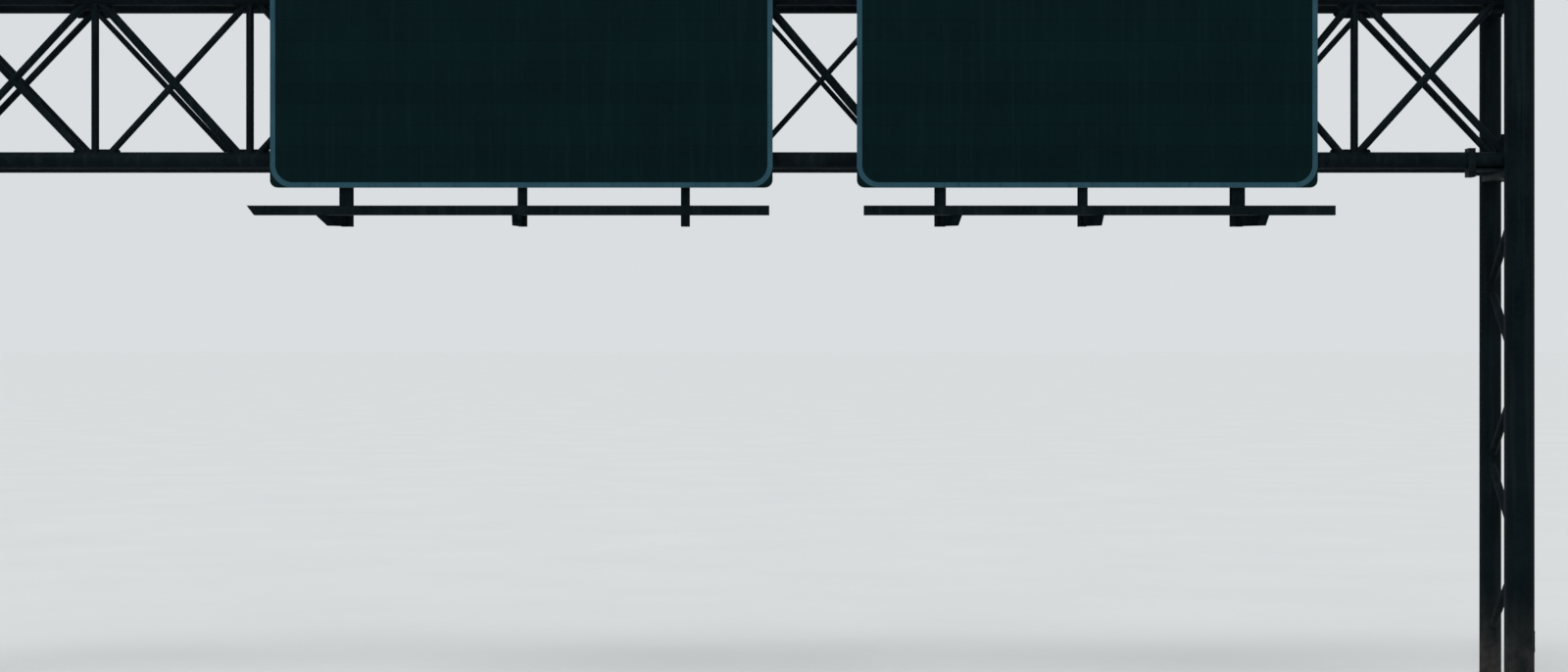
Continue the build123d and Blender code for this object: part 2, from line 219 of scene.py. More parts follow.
# Road dust and splash: thickest at the ground, gone by Reach
def makeRoadDust():
    group, entry, leave = startGroup("roadDust", [("Reach", "NodeSocketFloat", 1.4)],
                                     [("Mask", "NodeSocketFloat")])
    spot = group.nodes.new("ShaderNodeTexCoord").outputs["Object"]
    split = group.nodes.new("ShaderNodeSeparateXYZ")
    group.links.new(spot, split.inputs[0])
    rise = addMath(group, "DIVIDE", split.outputs["Z"], entry.outputs["Reach"])
    fade = addMath(group, "SUBTRACT", 1.0, rise, clamp=True)
    patchy = addRange(group, addNoise(group, spot, 4.5, 8.0, 0.7), 0.35, 0.65, 0.25, 1.0)
    settled = addMath(group, "POWER", fade, 1.7)
    group.links.new(addMath(group, "MULTIPLY", settled, patchy), leave.inputs["Mask"])
    return group


# Height for bump: orange peel of thick paint over the mill's rolled surface
def makeSteelGrain():
    group, entry, leave = startGroup("steelGrain", [("Scale", "NodeSocketFloat", 60.0)],
                                     [("Height", "NodeSocketFloat")])
    spot = group.nodes.new("ShaderNodeTexCoord").outputs["Object"]
    peel = addNoise(group, spot, entry.outputs["Scale"], 2.0, 0.5)
    dents = addNoise(group, spot, addMath(group, "MULTIPLY", entry.outputs["Scale"], 0.09), 3.0, 0.5)
    both = addMath(group, "ADD", addMath(group, "MULTIPLY", peel, 0.35),
                   addMath(group, "MULTIPLY", dents, 0.65))
    group.links.new(both, leave.inputs["Height"])
    return group


groups = {"streaks": makeRainStreaks(), "mottle": makePaintMottle(), "rust": makeRustBloom(),
          "dust": makeRoadDust(), "grain": makeSteelGrain()}
print("node groups made:", len(groups))


def useGroup(tree, key, values):
    node = tree.nodes.new("ShaderNodeGroup")
    node.node_tree = groups[key]
    for label, value in values.items():
        node.inputs[label].default_value = value
    return node.outputs


def startMaterial(name):
    material = bpy.data.materials.new(name)
    material.use_nodes = True
    tree = material.node_tree
    tree.nodes.clear()
    shader = tree.nodes.new("ShaderNodeBsdfPrincipled")
    output = tree.nodes.new("ShaderNodeOutputMaterial")
    tree.links.new(shader.outputs["BSDF"], output.inputs["Surface"])
    return material, tree, shader


def addBump(tree, shader, height, strength, distance):
    bump = addNode(tree, "ShaderNodeBump", {"Strength": strength, "Distance": distance})
    tree.links.new(height, bump.inputs["Height"])
    tree.links.new(bump.outputs["Normal"], shader.inputs["Normal"])


# Near-black blue-green colours throughout: painted dusk shade and sky tint over each finish's own tone, zinc
# bolts included
steelLooks = {
    "trussPaint": {"shadedDeep": (0.0018, 0.0043, 0.0056), "shadedWorn": (0.0053, 0.0097, 0.0118),
                   "run": (0.0136, 0.0211, 0.0242),
                   "mottle": 1.7, "runs": (11.0, 0.7, 0.53), "rust": (7.0, 0.06), "rough": (0.46, 0.66),
                   "grain": 70.0},
    "columnPaint": {"shadedDeep": (0.0016, 0.0040, 0.0052), "shadedWorn": (0.0047, 0.0088, 0.0105),
                    "run": (0.0124, 0.0192, 0.0223),
                    "mottle": 1.1, "runs": (8.0, 0.35, 0.50), "rust": (4.0, 0.10), "rough": (0.48, 0.68),
                    "grain": 55.0, "dust": 1.8},
    "basePaint": {"shadedDeep": (0.0032, 0.0054, 0.0063), "shadedWorn": (0.0085, 0.0120, 0.0130),
                  "run": (0.0198, 0.0229, 0.0236),
                  "mottle": 3.5, "runs": (14.0, 1.2, 0.50), "rust": (11.0, 0.36), "rough": (0.60, 0.84),
                  "grain": 90.0, "dust": 1.1},
    "fittingPaint": {"shadedDeep": (0.0025, 0.0054, 0.0067), "shadedWorn": (0.0070, 0.0120, 0.0140),
                     "run": (0.0161, 0.0229, 0.0254),
                     "mottle": 4.0, "runs": (16.0, 1.2, 0.52), "rust": (13.0, 0.14), "rough": (0.44, 0.62),
                     "grain": 90.0},
    "postPaint": {"shadedDeep": (0.0020, 0.0047, 0.0059), "shadedWorn": (0.0060, 0.0105, 0.0125),
                  "run": (0.0149, 0.0217, 0.0248),
                  "mottle": 2.3, "runs": (13.0, 0.8, 0.52), "rust": (8.0, 0.07), "rough": (0.55, 0.72),
                  "grain": 80.0,
                  "gloss": 0.0},
    "railPaint": {"shadedDeep": (0.0019, 0.0044, 0.0057), "shadedWorn": (0.0055, 0.0100, 0.0120),
                  "run": (0.0143, 0.0211, 0.0236),
                  "mottle": 2.6, "runs": (12.0, 1.6, 0.52), "rust": (9.0, 0.08), "rough": (0.46, 0.64),
                  "grain": 80.0},
    "weldPaint": {"shadedDeep": (0.0032, 0.0056, 0.0067), "shadedWorn": (0.0090, 0.0130, 0.0140),
                  "run": (0.0186, 0.0192, 0.0180),
                  "mottle": 9.0, "runs": (18.0, 3.0, 0.52), "rust": (17.0, 0.30), "rough": (0.50, 0.72),
                  "grain": 160.0},
    "boltZinc": {"shadedDeep": (0.0038, 0.0060, 0.0070), "shadedWorn": (0.0110, 0.0145, 0.0158),
                 "run": (0.0150, 0.0138, 0.0125),
                 "mottle": 22.0, "runs": (20.0, 3.0, 0.54), "rust": (24.0, 0.24), "rough": (0.50, 0.68),
                 "grain": 190.0, "metal": 0.25},
}


dustColour = (0.075, 0.070, 0.062)


# Painted or galvanised steel, out in the weather for years; its near-black blue-green base colours are
# painted dusk shade and sky tint
def makeSteel(name, look):
    material, tree, shader = startMaterial(name)
    across, down, start = look["runs"]
    shade = useGroup(tree, "mottle", {"Scale": look["mottle"]})["Shade"]
    runs = useGroup(tree, "streaks", {"Across": across, "Down": down, "Start": start})["Mask"]
    rust = useGroup(tree, "rust", {"Scale": look["rust"][0], "Cover": look["rust"][1]})
    # Base colour: painted dusk shade and sky tint, near-black blue-green, with the paint's own mottle between
    # the two
    colour = mixColours(tree, shade, look["shadedDeep"], look["shadedWorn"])
    colour = mixColours(tree, addMath(tree, "MULTIPLY", runs, 0.42), colour, look["run"])
    colour = mixColours(tree, rust["Mask"], colour, rust["Colour"])
    rough = addMath(tree, "ADD", addRange(tree, shade, 0.0, 1.0, *look["rough"]),
                    addMath(tree, "MULTIPLY", rust["Mask"], 0.2))
    if "dust" in look:
        dust = useGroup(tree, "dust", {"Reach": look["dust"]})["Mask"]
        colour = mixColours(tree, addMath(tree, "MULTIPLY", dust, 0.8), colour, dustColour)
        rough = addMath(tree, "ADD", rough, addMath(tree, "MULTIPLY", dust, 0.2))
    tree.links.new(colour, shader.inputs["Base Color"])
    tree.links.new(rough, shader.inputs["Roughness"])
    shader.inputs["Specular IOR Level"].default_value = look.get("gloss", 0.02)
    if "metal" in look:
        bare = addMath(tree, "MULTIPLY", addMath(tree, "SUBTRACT", 1.0, rust["Mask"]), look["metal"])
        tree.links.new(bare, shader.inputs["Metallic"])
    grain = useGroup(tree, "grain", {"Scale": look["grain"]})["Height"]
    height = addMath(tree, "ADD", grain, addMath(tree, "MULTIPLY", rust["Mask"], 0.5))
    addBump(tree, shader, height, 0.35, 0.004)
    return material


steel = {name: makeSteel(name, look) for name, look in steelLooks.items()}
print("steel finishes made:", len(steel))

# Face colours: painted dusk shade and sky tint, the green sheet kept near-black teal; the bare metal behind
# is its own colour
signSheet = {"bottom": 7.56, "plank": 0.3048, "frontY": -0.0195, "shadedDeep": (0.0003, 0.0066, 0.0080),
             "shadedWorn": (0.0009, 0.0105, 0.0125), "joint": (0.0001, 0.0022, 0.0028),
             "chalk": (0.005, 0.020, 0.023), "bare": (0.085, 0.100, 0.106),
             "bareWorn": (0.165, 0.182, 0.188), "bareRun": (0.06, 0.066, 0.066)}


# Dark green reflective sheet over aluminium planks, bare metal behind; the face's near-black teal is painted
# dusk shade and sky tint over the sheet's green
def makeSignSheet(look):
    material, tree, shader = startMaterial("signSheet")
    spot = tree.nodes.new("ShaderNodeTexCoord").outputs["Object"]
    split = tree.nodes.new("ShaderNodeSeparateXYZ")
    tree.links.new(spot, split.inputs[0])
    above = addMath(tree, "SUBTRACT", split.outputs["Z"], look["bottom"])
    count = addMath(tree, "DIVIDE", above, look["plank"])
    across = addMath(tree, "FRACT", count, 0.0)
    away = addMath(tree, "MINIMUM", across, addMath(tree, "SUBTRACT", 1.0, across))
    joint = addRange(tree, away, 0.004, 0.011, 1.0, 0.0)  # 1 in the hairline between planks
    plankSeed = tree.nodes.new("ShaderNodeTexWhiteNoise")
    plankSeed.noise_dimensions = "1D"
    tree.links.new(addMath(tree, "FLOOR", count, 0.0), plankSeed.inputs["W"])
    shade = useGroup(tree, "mottle", {"Scale": 0.9})["Shade"]
    shade = addMath(tree, "ADD", addMath(tree, "MULTIPLY", shade, 0.6),
                    addMath(tree, "MULTIPLY", plankSeed.outputs["Value"], 0.4))
    runs = useGroup(tree, "streaks", {"Across": 16.0, "Down": 0.45, "Start": 0.52})["Mask"]
    # Face: painted dusk shade and sky tint, near-black teal, with the planks' own change of shade
    face = mixColours(tree, shade, look["shadedDeep"], look["shadedWorn"])
    face = mixColours(tree, addMath(tree, "MULTIPLY", runs, 0.22), face, look["chalk"])
    face = mixColours(tree, addMath(tree, "MULTIPLY", joint, 0.8), face, look["joint"])
    metal = mixColours(tree, shade, look["bare"], look["bareWorn"])
    metal = mixColours(tree, addMath(tree, "MULTIPLY", runs, 0.5), metal, look["bareRun"])
    behind = addMath(tree, "GREATER_THAN", split.outputs["Y"], look["frontY"])
    tree.links.new(mixColours(tree, behind, face, metal), shader.inputs["Base Color"])
    tree.links.new(addMath(tree, "MULTIPLY", behind, 0.7), shader.inputs["Metallic"])
    rough = addMath(tree, "ADD", addRange(tree, shade, 0.0, 1.0, 0.36, 0.50),
                    addMath(tree, "MULTIPLY", runs, 0.16))
    tree.links.new(rough, shader.inputs["Roughness"])
    shader.inputs["Specular IOR Level"].default_value = 0.04
    cells = addNode(tree, "ShaderNodeTexVoronoi", {"Scale": 260.0}, feature="DISTANCE_TO_EDGE")
    tree.links.new(spot, cells.inputs["Vector"])
    beads = addMath(tree, "MULTIPLY", addMath(tree, "MINIMUM", cells.outputs["Distance"], 0.12), 0.5)
    waves = useGroup(tree, "grain", {"Scale": 22.0})["Height"]
    height = addMath(tree, "SUBTRACT", addMath(tree, "ADD", beads, waves), joint)
    addBump(tree, shader, height, 0.3, 0.003)
    return material


# The border film is white; its dark teal colours, grime runs included, are painted dusk shade and sky tint
signBorder = {"shadedFilm": (0.026, 0.078, 0.106), "shadedDull": (0.018, 0.056, 0.078), "grime": (0.009, 0.028, 0.038)}


def makeSignBorder(look):
    material, tree, shader = startMaterial("signBorderFilm")
    spot = tree.nodes.new("ShaderNodeTexCoord").outputs["Object"]
    shade = useGroup(tree, "mottle", {"Scale": 2.2})["Shade"]
    runs = useGroup(tree, "streaks", {"Across": 18.0, "Down": 0.6, "Start": 0.53})["Mask"]
    # Border colour: painted dusk shade and sky tint over white film
    colour = mixColours(tree, shade, look["shadedFilm"], look["shadedDull"])
    colour = mixColours(tree, addMath(tree, "MULTIPLY", runs, 0.55), colour, look["grime"])
    tree.links.new(colour, shader.inputs["Base Color"])
    tree.links.new(addRange(tree, shade, 0.0, 1.0, 0.34, 0.52), shader.inputs["Roughness"])
    shader.inputs["Specular IOR Level"].default_value = 0.05
    cells = addNode(tree, "ShaderNodeTexVoronoi", {"Scale": 260.0}, feature="DISTANCE_TO_EDGE")
    tree.links.new(spot, cells.inputs["Vector"])
    addBump(tree, shader, addMath(tree, "MINIMUM", cells.outputs["Distance"], 0.12), 0.2, 0.002)
    return material


sheetMaterial = makeSignSheet(signSheet)
borderMaterial = makeSignBorder(signBorder)

slotFinish = {"truss_steel": steel["trussPaint"], "column_steel": steel["columnPaint"],
              "base_steel": steel["basePaint"], "fitting_steel": steel["fittingPaint"],
              "post_steel": steel["postPaint"], "rail_steel": steel["railPaint"],
              "sign_sheet": sheetMaterial, "sign_border": borderMaterial}
for row in frame["record"]["subparts"]:
    node = frame["nodes"][row["node"]]
    finish = slotFinish[row["material_slot"]]
    if not node.data.materials:
        node.data.materials.append(finish)
    for index in range(len(node.data.materials)):
        node.data.materials[index] = finish


# Mesh tools

def keepPiece(name, mesh, material):
    bmesh.ops.recalc_face_normals(mesh, faces=mesh.faces)
    data = bpy.data.meshes.new(name)
    mesh.to_mesh(data)
    mesh.free()
    data.materials.append(material)
    piece = bpy.data.objects.new(name, data)
    bpy.context.scene.collection.objects.link(piece)
    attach(piece, "root")
    print(name, "faces", len(data.polygons))


# A place whose own Z looks along the axis
def facing(spot, axis, turn=0.0):
    aimed = Vector(axis).to_track_quat("Z", "Y").to_matrix().to_4x4()
    return Matrix.Translation(spot) @ aimed @ Matrix.Rotation(turn, 4, "Z")


# Turns a profile of (radius, height) about the place's Z
def addTurned(mesh, place, profile, sides, smooth=False):
    rings = []
    for radius, height in profile:
        if radius == 0:
            rings.append([mesh.verts.new(place @ Vector((0, 0, height)))])
            continue
        ring = []
        for side in range(sides):
            angle = 2 * math.pi * side / sides
            corner = Vector((radius * math.cos(angle), radius * math.sin(angle), height))
            ring.append(mesh.verts.new(place @ corner))
        rings.append(ring)
    for lower, upper in zip(rings, rings[1:]):
        for side in range(sides):
            following = (side + 1) % sides
            if len(lower) == 1:
                corners = (lower[0], upper[following], upper[side])
            elif len(upper) == 1:
                corners = (lower[side], lower[following], upper[0])
            else:
                corners = (lower[side], lower[following], upper[following], upper[side])
            mesh.faces.new(corners).smooth = smooth


# A round bar along points, as one mesh; swell changes its radius from point to point
def addRod(mesh, points, radius, sides=6, closed=False, swell=0.0):
    points = [Vector(point) for point in points]
    count = len(points)
    normal = None
    rings = []
    for index, point in enumerate(points):
        if closed:
            along = points[(index + 1) % count] - points[index - 1]
        else:
            along = points[min(index + 1, count - 1)] - points[max(index - 1, 0)]
        along.normalize()
        if normal is None:
            normal = along.orthogonal().normalized()
        normal = (normal - along * normal.dot(along)).normalized()
        other = along.cross(normal)
        here = radius * (1 + swell * (-1) ** index)
        rings.append([mesh.verts.new(point + here * (normal * math.cos(angle) + other * math.sin(angle)))
                      for angle in (2 * math.pi * side / sides for side in range(sides))])
    for lower, upper in zip(rings, rings[1:]):
        for side in range(sides):
            following = (side + 1) % sides
            mesh.faces.new((lower[side], lower[following], upper[following], upper[side])).smooth = True
    if closed:
        # The first ring may be turned against the last, so it is met at its nearest corner
        shift = min(range(sides), key=lambda turn: (rings[-1][0].co - rings[0][turn].co).length)
        for side in range(sides):
            following = (side + 1) % sides
            mesh.faces.new((rings[-1][side], rings[-1][following], rings[0][(following + shift) % sides],
                            rings[0][(side + shift) % sides])).smooth = True
    else:
        mesh.faces.new(list(reversed(rings[0])))
        mesh.faces.new(rings[-1])


# A plate between two corners, with its edges broken by a small bevel
def addPlate(mesh, low, high, bevel=0.0015):
    low, high = Vector(low), Vector(high)
    size = high - low
    place = Matrix.Translation((low + high) / 2) @ Matrix.Diagonal((size.x, size.y, size.z, 1))
    corners = bmesh.ops.create_cube(mesh, size=1.0, matrix=place)["verts"]
    edges = list({edge for corner in corners for edge in corner.link_edges})
    bmesh.ops.bevel(mesh, geom=edges, offset=bevel, segments=1, affect="EDGES")


# In sizes of the bolt's diameter; seat, crown and tip are parts of the hexagon and the shank
boltShape = {"washer": 1.02, "washerHeight": 0.15, "washerSides": 16, "hexCorner": 0.87, "hexHeight": 0.66,
             "chamfer": 0.06, "seat": 0.9, "crown": 0.86, "shank": 0.5, "shankSides": 12, "tip": 0.2}


# A washer and hexagon, with the bolt's end past it for a nut
def addHex(mesh, spot, axis, diameter, tail=0.0, turn=0.0, shape=boltShape):
    place = facing(spot, axis, turn)
    washerTop = shape["washerHeight"] * diameter
    hexTop = washerTop + shape["hexHeight"] * diameter
    washer = shape["washer"] * diameter
    corner = shape["hexCorner"] * diameter
    addTurned(mesh, place, [(washer, 0), (washer, washerTop), (corner * shape["seat"], washerTop)],
              shape["washerSides"])
    addTurned(mesh, place, [(corner, washerTop), (corner, hexTop - shape["chamfer"] * diameter),
                            (corner * shape["crown"], hexTop), (0, hexTop)], 6)
    if tail:
        shank = shape["shank"] * diameter
        tip = shape["tip"] * shank
        end = hexTop + tail
        addTurned(mesh, place, [(shank, hexTop), (shank, end - tip), (shank - tip, end), (0, end)],
                  shape["shankSides"])


# Where a bar's round surface meets a round pipe: a closed line on both
def meetingLine(start, direction, barRadius, pipeRadius, pipeAxis, pipePoint, steps):
    direction = Vector(direction).normalized()
    side = direction.orthogonal().normalized()
    other = direction.cross(side)
    pipeAxis = Vector(pipeAxis)
    line = []
    for step in range(steps):
        angle = 2 * math.pi * step / steps
        out = barRadius * (side * math.cos(angle) + other * math.sin(angle))
        rim = Vector(start) + out - Vector(pipePoint)
        flatRim = rim - pipeAxis * rim.dot(pipeAxis)
        flatWay = direction - pipeAxis * direction.dot(pipeAxis)
        a = flatWay.dot(flatWay)
        b = 2 * flatRim.dot(flatWay)
        c = flatRim.dot(flatRim) - pipeRadius ** 2
        inside = b * b - 4 * a * c
        if inside < 0:
            return None
        travel = (-b + math.sqrt(inside)) / (2 * a)
        line.append(Vector(pipePoint) + rim + direction * travel)
    return line


weldBead = {"radius": 0.0055, "swell": 0.16, "steps": 34, "sides": 5, "lift": 0.002}


def addWeld(mesh, line, closed=True, bead=weldBead):
    if line:
        addRod(mesh, line, bead["radius"], bead["sides"], closed, bead["swell"])


def straightLine(start, stop, spacing=0.03):
    start, stop = Vector(start), Vector(stop)
    count = max(2, int((stop - start).length / spacing))
    return [start.lerp(stop, step / count) for step in range(count + 1)]


def ringLine(centre, axis, radius, steps=48):
    place = facing(centre, axis)
    return [place @ Vector((radius * math.cos(angle), radius * math.sin(angle), 0))
            for angle in (2 * math.pi * step / steps for step in range(steps))]


# A face's bars as (start, stop, radius), for the welds at their ends and along the gussets there
def webBars(unit, face):
    nodes = faceNodes[unit, face]
    first = 0 if unit == "left" else trussLayout["leftBays"]
    y, lowZ, highZ = chordY[face], chordZ["bottom"], chordZ["top"]
    bars = []
    for bay, (near, far) in enumerate(zip(nodes, nodes[1:]), first):
        for kind in ("main", "counter"):
            if face == "back" and kind == "counter" and bay not in backCounterBays:
                continue
            sizes = kind if face == "front" else "back"
            shifts = barEnds[sizes].get(bay, barEnds["usual"][sizes])
            falls = (bay % 2 == 0) == (kind == "main")
            startZ, stopZ = (highZ, lowZ) if falls else (lowZ, highZ)
            radius = barWidths[sizes].get(bay, barWidths["usual"][sizes]) / 2
            bars.append(((near + shifts[0], y, startZ), (far + shifts[1], y, stopZ), radius))
    if face == "front":
        bars += [((x, y, lowZ), (x, y, highZ), trussLayout["verticalRadius"]) for x in nodes]
    return bars


def braceBars(unit, level):
    nodes = trussNodes[unit]
    z = chordZ[level]
    bars = [((x, chordY["front"], z), (x, chordY["back"], z), trussLayout["braceRadius"]) for x in nodes]
    for bay, (near, far) in enumerate(zip(nodes, nodes[1:])):
        startY, stopY = chordY["front"], chordY["back"]
        if bay % 2:
            startY, stopY = stopY, startY
        bars.append(((near, startY, z), (far, stopY, z), trussLayout["braceRadius"]))
    return bars


def weldBars(mesh, bars):
    for start, stop, radius in bars:
        start, stop = Vector(start), Vector(stop)
        for here, there in ((start, stop), (stop, start)):
            line = meetingLine(here, there - here, radius, chordRadius, (1, 0, 0), here, weldBead["steps"])
            addWeld(mesh, line)


for unit in ends:
    welds = bmesh.new()
    for face in faces:
        weldBars(welds, webBars(unit, face))
    keepPiece(f"{unit}WebWelds", welds, steel["weldPaint"])
    welds = bmesh.new()
    for level in levels:
        weldBars(welds, braceBars(unit, level))
    keepPiece(f"{unit}BraceWelds", welds, steel["weldPaint"])
    welds = bmesh.new()
    thick = trussLayout["gussetHalfThick"]
    for face in faces:
        low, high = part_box(f"{unit}_{face}_web")
        feet = [(spot[0], spot[2]) for bar in webBars(unit, face) for spot in bar[:2]]
        for x in faceNodes[unit, face]:
            for level, inward in (("bottom", 1), ("top", -1)):
                near = [footX for footX, footZ in feet
                        if footZ == chordZ[level] and abs(footX - x) < trussLayout["nodeReach"]]
                if not near:
                    continue
                startX = max(min(near) - trussLayout["gussetMargin"], low.x)
                stopX = min(max(near) + trussLayout["gussetMargin"], high.x)
                for side in (-1, 1):
                    z = chordZ[level] + inward * math.sqrt(chordRadius ** 2 - thick ** 2)
                    y = chordY[face] + side * (thick + weldBead["lift"])
                    addWeld(welds, straightLine((startX, y, z), (stopX, y, z)), closed=False)
    keepPiece(f"{unit}GussetWelds", welds, steel["weldPaint"])
print("truss welded")

spliceJoint = {"x": 1.357, "flange": 0.032, "boltCircle": 0.156, "boltCount": 8, "firstBolt": 22.5,
               "bolt": 0.024, "tail": 0.012}
flangeFace = Vector((spliceJoint["flange"], 0, 0))
flangeWeld = Vector((spliceJoint["flange"] + weldBead["lift"], 0, 0))
bolts = bmesh.new()
rings = bmesh.new()
for face in faces:
    for level in levels:
        centre = Vector((spliceJoint["x"], chordY[face], chordZ[level]))
        for count in range(spliceJoint["boltCount"]):
            angle = math.radians(spliceJoint["firstBolt"]) + 2 * math.pi * count / spliceJoint["boltCount"]
            out = Vector((0, math.cos(angle), math.sin(angle))) * spliceJoint["boltCircle"]
            addHex(bolts, centre + out + flangeFace, (1, 0, 0), spliceJoint["bolt"], turn=angle)
            addHex(bolts, centre + out - flangeFace, (-1, 0, 0), spliceJoint["bolt"],
                   tail=spliceJoint["tail"], turn=angle)
        for side in (-1, 1):
            addWeld(rings, ringLine(centre + side * flangeWeld, (1, 0, 0), chordRadius + weldBead["lift"]))
keepPiece("spliceBolts", bolts, steel["boltZinc"])
keepPiece("spliceWelds", rings, steel["weldPaint"])

chordCap = {"thick": 0.008, "edge": 0.0048, "lip": 0.003, "bevel": 0.004, "sides": 40}
caps = bmesh.new()
for side in ends.values():
    for face in faces:
        for level in levels:
            spot = Vector((side * chordEnd, chordY[face], chordZ[level]))
            rim = chordRadius + chordCap["lip"]
            profile = [(rim, 0), (rim, chordCap["edge"]), (rim - chordCap["bevel"], chordCap["thick"]),
                       (0, chordCap["thick"])]
            addTurned(caps, facing(spot, (side, 0, 0)), profile, chordCap["sides"])
keepPiece("chordCaps", caps, steel["trussPaint"])
print("splice and chord ends done")

# A U-bolt round a chord, in a plane across it, with its legs towards one side
uBolt = {"rod": 0.009, "nut": 0.018, "legStart": 0.04, "arcSteps": 24, "sides": 10}


def addUBolt(mesh, x, y, z, toward, nutY, reach):
    ring = chordRadius + uBolt["rod"]
    leg = (nutY + toward * reach, nutY, y + toward * uBolt["legStart"])
    points = [Vector((x, legY, z + ring)) for legY in leg]
    for step in range(uBolt["arcSteps"] + 1):
        angle = math.pi * step / uBolt["arcSteps"]
        points.append(Vector((x, y - toward * ring * math.sin(angle), z + ring * math.cos(angle))))
    points += [Vector((x, legY, z - ring)) for legY in reversed(leg)]
    addRod(mesh, points, uBolt["rod"], uBolt["sides"])
    for side in (-1, 1):
        addHex(mesh, (x, nutY, z + side * ring), (0, toward, 0), uBolt["nut"])


postJoint = {"legSpread": 0.045, "flange": 0.012, "legEnd": 0.030}
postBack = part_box("left_sign_posts")[1].y
bolts = bmesh.new()
for side in ends:
    for x in signPosts[side]:
        for level in levels:
            for spread in (-1, 1):
                addUBolt(bolts, x + spread * postJoint["legSpread"], chordY["front"], chordZ[level], -1,
                         postBack - postJoint["flange"], postJoint["legEnd"])
keepPiece("postUBolts", bolts, steel["boltZinc"])

# Each top chord is held to its columns by a pad and two U-bolts
columnTie = {"inner": 0.072, "outer": 0.108, "padInner": 0.105, "padOuter": 0.140, "padHalf": 0.160,
             "padThick": 0.0085, "padBevel": 0.002, "legEnd": 0.004}
bolts = bmesh.new()
pads = bmesh.new()
for side in ends.values():
    for face, toward in (("front", -1), ("back", 1)):
        touchY = chordY[face] + toward * chordRadius
        padFar = touchY + toward * columnTie["padThick"]
        centreX = side * columnX
        spans = sorted((centreX - side * columnTie["padInner"], centreX + side * columnTie["padOuter"]))
        addPlate(pads, (spans[0], min(touchY, padFar), chordZ["top"] - columnTie["padHalf"]),
                 (spans[1], max(touchY, padFar), chordZ["top"] + columnTie["padHalf"]), columnTie["padBevel"])
        for x in (centreX - side * columnTie["inner"], centreX + side * columnTie["outer"]):
            addUBolt(bolts, x, chordY[face], chordZ["top"], toward, padFar, columnTie["legEnd"])
keepPiece("columnTieBolts", bolts, steel["boltZinc"])
keepPiece("columnTiePads", pads, steel["fittingPaint"])
print("ties done")

# Bolts through the saddle plates and the seat beams
saddleBolt = {"bolt": 0.020, "x": 0.105, "y": 0.086, "tail": 0.006, "collarIn": 0.63, "collarFace": 0.130,
              "screw": 0.018, "screwRises": (-0.17, -0.06, 0.06, 0.145)}
bolts = bmesh.new()
for end, side in ends.items():
    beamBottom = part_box(f"{end}_seat_beam")[0].z
    plateTop = chordZ["bottom"] - chordRadius
    for face in faces:
        for alongX in (-1, 1):
            for alongY in (-1, 1):
                x = side * columnX + alongX * saddleBolt["x"]
                y = chordY[face] + alongY * saddleBolt["y"]
                addHex(bolts, (x, y, plateTop), (0, 0, 1), saddleBolt["bolt"], tail=saddleBolt["tail"])
                addHex(bolts, (x, y, beamBottom), (0, 0, -1), saddleBolt["bolt"])
    # Collar screws, on the collar's own front and back
    collarX = side * (columnX - saddleBolt["collarIn"])
    for outY in (-1, 1):
        for rise in saddleBolt["screwRises"]:
            spot = (collarX, chordY["front"] + outY * saddleBolt["collarFace"], chordZ["bottom"] + rise)
            addHex(bolts, spot, (0, outY, 0), saddleBolt["screw"])
keepPiece("saddleBolts", bolts, steel["boltZinc"])

anchor = {"count": 8, "first": 22.5, "bolt": 0.036, "rod": 0.018, "rodSides": 14, "foot": 0.001,
          "circle": 0.075, "top": 0.045, "inNut": 0.01, "tail": 0.045}
studs = bmesh.new()
for side in ends.values():
    for face in faces:
        reach = columnRadius[face] + anchor["circle"]
        for count in range(anchor["count"]):
            angle = math.radians(anchor["first"] + 360 / anchor["count"] * count)
            out = Vector((math.cos(angle), math.sin(angle), 0)) * reach
            spot = Vector((side * columnX, columnY[face], 0)) + out
            profile = [(0, anchor["foot"]), (anchor["rod"], anchor["foot"]),
                       (anchor["rod"], anchor["top"] + anchor["inNut"])]
            addTurned(studs, facing(spot, (0, 0, 1)), profile, anchor["rodSides"], smooth=True)
            addHex(studs, spot + Vector((0, 0, anchor["top"])), (0, 0, 1), anchor["bolt"],
                   tail=anchor["tail"], turn=angle)
keepPiece("anchorStuds", studs, steel["boltZinc"])
print("bolts done")

